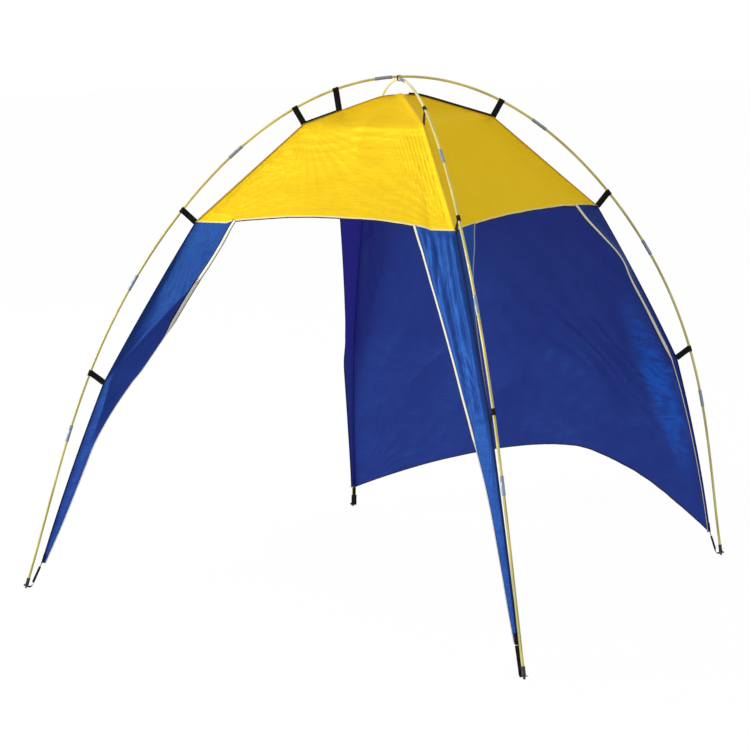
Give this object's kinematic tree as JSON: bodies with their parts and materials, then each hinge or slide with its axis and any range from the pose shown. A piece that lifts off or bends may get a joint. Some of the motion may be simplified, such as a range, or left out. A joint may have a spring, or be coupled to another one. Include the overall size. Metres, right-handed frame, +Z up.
{
  "type": "folding beach tent",
  "caption": "Open-sided folding beach tent: crossing arched poles carry a sloping yellow canopy, blue leg panels and a blue back wall on black webbing loops.",
  "frame": {"origin": "on the ground, below the middle of the tent's outline", "axes": "+Z up, +X to the right seen from the open front, which is the tent's widest direction, +Y towards the back wall"},
  "size_m": [2.5092, 1.9238, 2.0575],
  "materials": {
    "glass_fibre": "smooth yellow glass fibre",
    "ferrule_metal": "drawn metal, blue-grey",
    "cap_plastic": "black moulded plastic",
    "shock_cord": "braided elastic cord",
    "foot_elastic": "braided elastic cord, olive grey",
    "black_webbing": "woven black webbing",
    "yellow_nylon": "coated yellow nylon taffeta",
    "blue_nylon": "coated blue nylon taffeta"
  },
  "bodies": {
    "root": {"left_front_lower_section": "glass_fibre", "left_front_upper_section": "glass_fibre", "left_front_crown_section": "glass_fibre", "left_front_leg_ferrule": "ferrule_metal", "left_front_shock_cord": "shock_cord", "left_front_foot_elastic": "foot_elastic", "left_front_upper_strap": "black_webbing", "left_front_hem_strap": "black_webbing", "left_front_leg_strap": "black_webbing", "left_front_leg_cloth": "blue_nylon", "right_front_lower_section": "glass_fibre", "right_front_upper_section": "glass_fibre", "right_front_crown_section": "glass_fibre", "right_front_leg_ferrule": "ferrule_metal", "right_front_shock_cord": "shock_cord", "right_front_foot_elastic": "foot_elastic", "right_front_upper_strap": "black_webbing", "right_front_hem_strap": "black_webbing", "right_front_leg_strap": "black_webbing", "right_front_leg_cloth": "blue_nylon", "right_back_lower_section": "glass_fibre", "right_back_upper_section": "glass_fibre", "right_back_crown_section": "glass_fibre", "right_back_leg_ferrule": "ferrule_metal", "right_back_shock_cord": "shock_cord", "right_back_foot_elastic": "foot_elastic", "right_back_upper_strap": "black_webbing", "right_back_hem_strap": "black_webbing", "right_back_leg_strap": "black_webbing", "right_back_leg_cloth": "blue_nylon", "left_back_lower_section": "glass_fibre", "left_back_upper_section": "glass_fibre", "left_back_crown_section": "glass_fibre", "left_back_leg_ferrule": "ferrule_metal", "left_back_shock_cord": "shock_cord", "left_back_foot_elastic": "foot_elastic", "left_back_upper_strap": "black_webbing", "left_back_hem_strap": "black_webbing", "left_back_leg_strap": "black_webbing", "left_back_leg_cloth": "blue_nylon", "ridge_strap": "black_webbing", "crown_tie": "black_webbing", "roof_top": "yellow_nylon", "roof_front": "yellow_nylon", "roof_right": "yellow_nylon", "roof_back": "yellow_nylon", "roof_left": "yellow_nylon", "back_wall": "blue_nylon"},
    "left_front_leg": {"left_front_leg_section": "glass_fibre", "left_front_foot_cap": "cap_plastic", "left_front_foot_tab": "black_webbing"},
    "right_front_leg": {"right_front_leg_section": "glass_fibre", "right_front_foot_cap": "cap_plastic", "right_front_foot_tab": "black_webbing"},
    "right_back_leg": {"right_back_leg_section": "glass_fibre", "right_back_foot_cap": "cap_plastic", "right_back_foot_tab": "black_webbing"},
    "left_back_leg": {"left_back_leg_section": "glass_fibre", "left_back_foot_cap": "cap_plastic", "left_back_foot_tab": "black_webbing"}
  },
  "joints": [
    {"name": "left_front_leg_pull", "type": "slide", "parent": "root", "child": "left_front_leg", "axis": [-0.2591, -0.2203, -0.9404], "range_m": [0, 0.06], "stiffness_N_per_m": 40, "springref_m": -0.3, "deforming": ["left_front_shock_cord", "left_front_foot_elastic"]},
    {"name": "right_front_leg_pull", "type": "slide", "parent": "root", "child": "right_front_leg", "axis": [0.26, -0.221, -0.94], "range_m": [0, 0.06], "stiffness_N_per_m": 40, "springref_m": -0.3, "deforming": ["right_front_shock_cord", "right_front_foot_elastic"]},
    {"name": "right_back_leg_pull", "type": "slide", "parent": "root", "child": "right_back_leg", "axis": [0.128, 0.1088, -0.9858], "range_m": [0, 0.06], "stiffness_N_per_m": 40, "springref_m": -0.3, "deforming": ["right_back_shock_cord", "right_back_foot_elastic"]},
    {"name": "left_back_leg_pull", "type": "slide", "parent": "root", "child": "left_back_leg", "axis": [-0.1294, 0.11, -0.9855], "range_m": [0, 0.06], "stiffness_N_per_m": 40, "springref_m": -0.3, "deforming": ["left_back_shock_cord", "left_back_foot_elastic"]}
  ]
}
